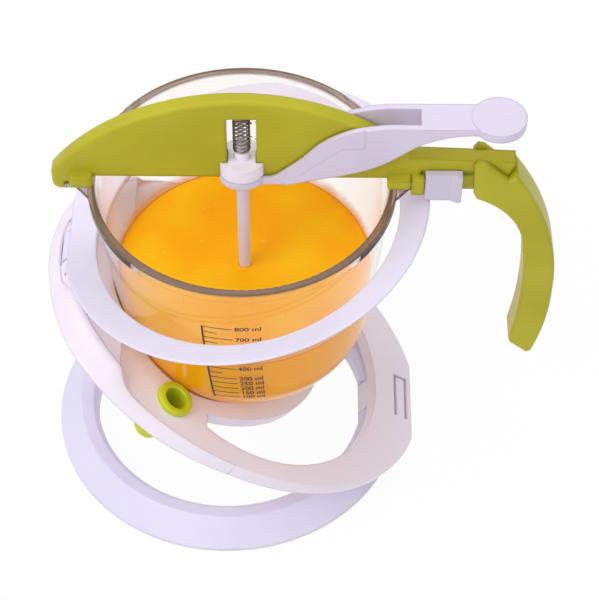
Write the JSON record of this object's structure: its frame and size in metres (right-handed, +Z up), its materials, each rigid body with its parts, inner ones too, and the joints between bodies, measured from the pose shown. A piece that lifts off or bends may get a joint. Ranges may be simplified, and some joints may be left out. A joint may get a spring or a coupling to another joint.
{
  "type": "batter dispenser",
  "caption": "Clear funnel bowl with a green bridge and handle, thumb lever and sprung plunger that opens the outlet, standing in a white three-ring folding stand.",
  "frame": {"origin": "centre of the base ring on the surface that it stands on", "axes": "+X from the bowl towards the handle, +Z up"},
  "size_m": [0.2499, 0.1798, 0.232],
  "materials": {
    "white_plastic": "smooth moulded plastic, slightly lavender white",
    "green_plastic": "smooth moulded plastic, yellow green",
    "clear_plastic": "clear moulded plastic",
    "steel": "drawn steel wire and pin",
    "green_silicone": "soft silicone",
    "batter": "thick pouring batter, smooth and wet",
    "pale_silicone": "soft silicone"
  },
  "bodies": {
    "stand_base": {"base_ring": "white_plastic", "base_hinge_pin": "steel"},
    "tray": {"tray_frame": "white_plastic", "ring_hinge_pin": "steel"},
    "ring": {"top_ring": "white_plastic"},
    "nozzle": {"spare_nozzle": "green_silicone"},
    "dispenser": {"bowl": "clear_plastic", "batter": "batter", "bridge": "green_plastic", "handle": "green_plastic", "handle_pin": "steel", "lever_pin": "steel"},
    "lever": {"lever": "white_plastic"},
    "plunger": {"plunger_head": "white_plastic", "plunger_rod": "white_plastic", "plunger_tip": "white_plastic", "tip_seal": "pale_silicone", "return_spring": "steel"},
    "slider": {"lock_slider": "white_plastic"}
  },
  "joints": [
    {"name": "tray_fold", "type": "hinge", "parent": "stand_base", "child": "tray", "pos_m": [0.0712, 0, 0.006], "axis": [0, -1, 0], "range_deg": [0, 24]},
    {"name": "ring_fold", "type": "hinge", "parent": "tray", "child": "ring", "pos_m": [-0.07438, 0, 0.128], "axis": [0, 1, 0], "range_deg": [0, 39.2]},
    {"name": "dispenser_lift", "type": "slide", "parent": "stand_base", "child": "dispenser", "axis": [0, 0, 1], "range_m": [0, 0.25]},
    {"name": "nozzle_pull", "type": "slide", "parent": "tray", "child": "nozzle", "axis": [0.569, 0, 0.8223], "range_m": [0, 0.077]},
    {"name": "lever_press", "type": "hinge", "parent": "dispenser", "child": "lever", "pos_m": [0.0717, 0, 0.203], "axis": [0, 1, 0], "range_deg": [0, 8.5], "stiffness_Nm_per_rad": 2.5, "springref_deg": -5.16},
    {"name": "plunger_lift", "type": "slide", "parent": "dispenser", "child": "plunger", "axis": [0, 0, 1], "range_m": [0, 0.0112], "deforming": ["return_spring"]},
    {"name": "lock_slide", "type": "slide", "parent": "dispenser", "child": "slider", "axis": [1, 0, 0], "range_m": [0, 0.0043]}
  ],
  "couplings": [
    {"joint": "ring_fold", "follows": "tray_fold", "ratio": 1.6333},
    {"joint": "dispenser_lift", "follows": "tray_fold", "m_per_rad": 0.59},
    {"joint": "nozzle_pull", "follows": "tray_fold", "m_per_rad": 0.18},
    {"joint": "plunger_lift", "follows": "lever_press", "m_per_rad": 0.0735}
  ]
}
